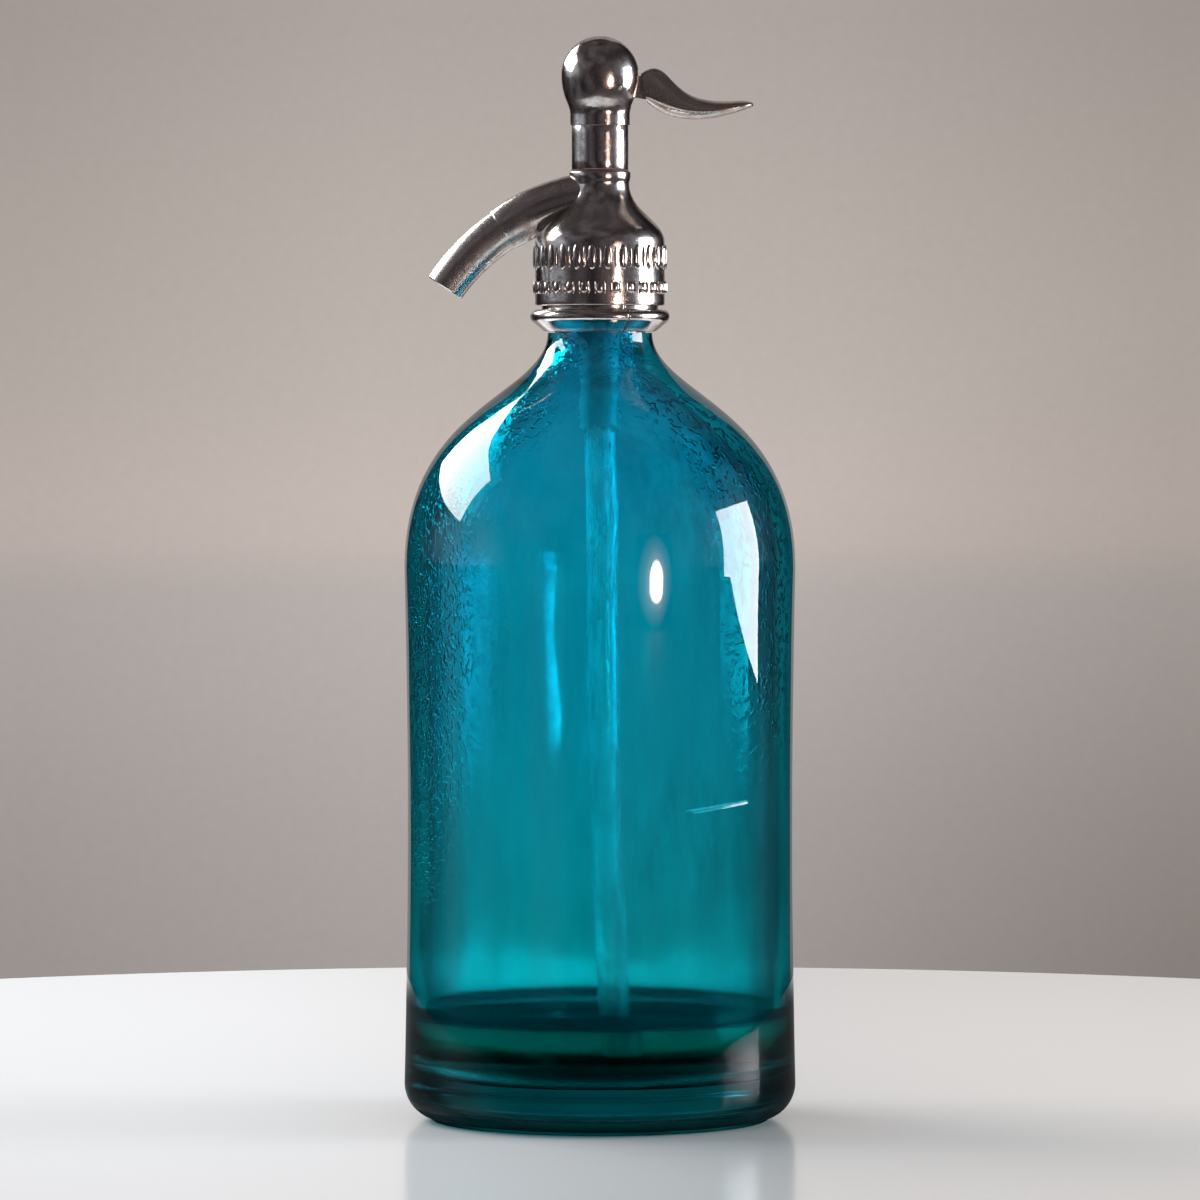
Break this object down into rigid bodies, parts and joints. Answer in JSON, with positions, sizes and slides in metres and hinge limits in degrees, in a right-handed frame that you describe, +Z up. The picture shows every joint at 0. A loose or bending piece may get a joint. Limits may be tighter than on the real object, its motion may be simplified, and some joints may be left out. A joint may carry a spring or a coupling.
{
  "type": "soda siphon",
  "caption": "Soda siphon: tinted glass bottle with a plated lever-action head, curved spout and inner dip tube.",
  "frame": {"origin": "centre of the bottle's foot, on the surface it stands on", "axes": "+Z up along the bottle's axis, +X towards the lever, -X towards the spout"},
  "size_m": [0.11, 0.11, 0.3041],
  "materials": {
    "tinted_glass": "clear, tinted in the mass",
    "clear_glass": "clear",
    "plated_metal": "polished plating, slightly tarnished",
    "pin_steel": "riveted end",
    "spring_steel": "drawn wire",
    "brass": "turned",
    "rubber": "moulded",
    "fibre": "pressed fibre",
    "holder_plastic": "moulded"
  },
  "bodies": {
    "siphon": {"glass_bottle": "tinted_glass", "neck_ring_right": "plated_metal", "neck_ring_left": "plated_metal", "mouth_gasket": "rubber", "tube_holder": "holder_plastic", "tube_sleeve": "rubber", "dip_tube": "clear_glass", "head_gasket": "rubber", "head_body": "plated_metal", "valve_seat": "brass", "spout_tube": "plated_metal", "barrel_gasket": "fibre", "spring_barrel": "plated_metal", "guide_bush": "brass", "dome_cap": "plated_metal", "lever_pin": "pin_steel", "spring": "spring_steel"},
    "lever": {"lever": "plated_metal"},
    "piston": {"piston_rod": "brass", "valve_cup": "brass", "valve_rubber": "rubber", "seal_washer": "brass", "piston_seal": "rubber"}
  },
  "joints": [
    {"name": "lever_press", "type": "hinge", "parent": "siphon", "child": "lever", "pos_m": [0.0054, 0, 0.28975], "axis": [0, 1, 0], "range_deg": [0, 22], "stiffness_Nm_per_rad": 0.05, "springref_deg": -45.84},
    {"name": "piston_lift", "type": "slide", "parent": "siphon", "child": "piston", "axis": [0, 0, 1], "range_m": [0, 0.00206], "deforming": ["spring"]}
  ],
  "couplings": [
    {"joint": "lever_press", "follows": "piston_lift", "rad_per_m": 186.33}
  ]
}
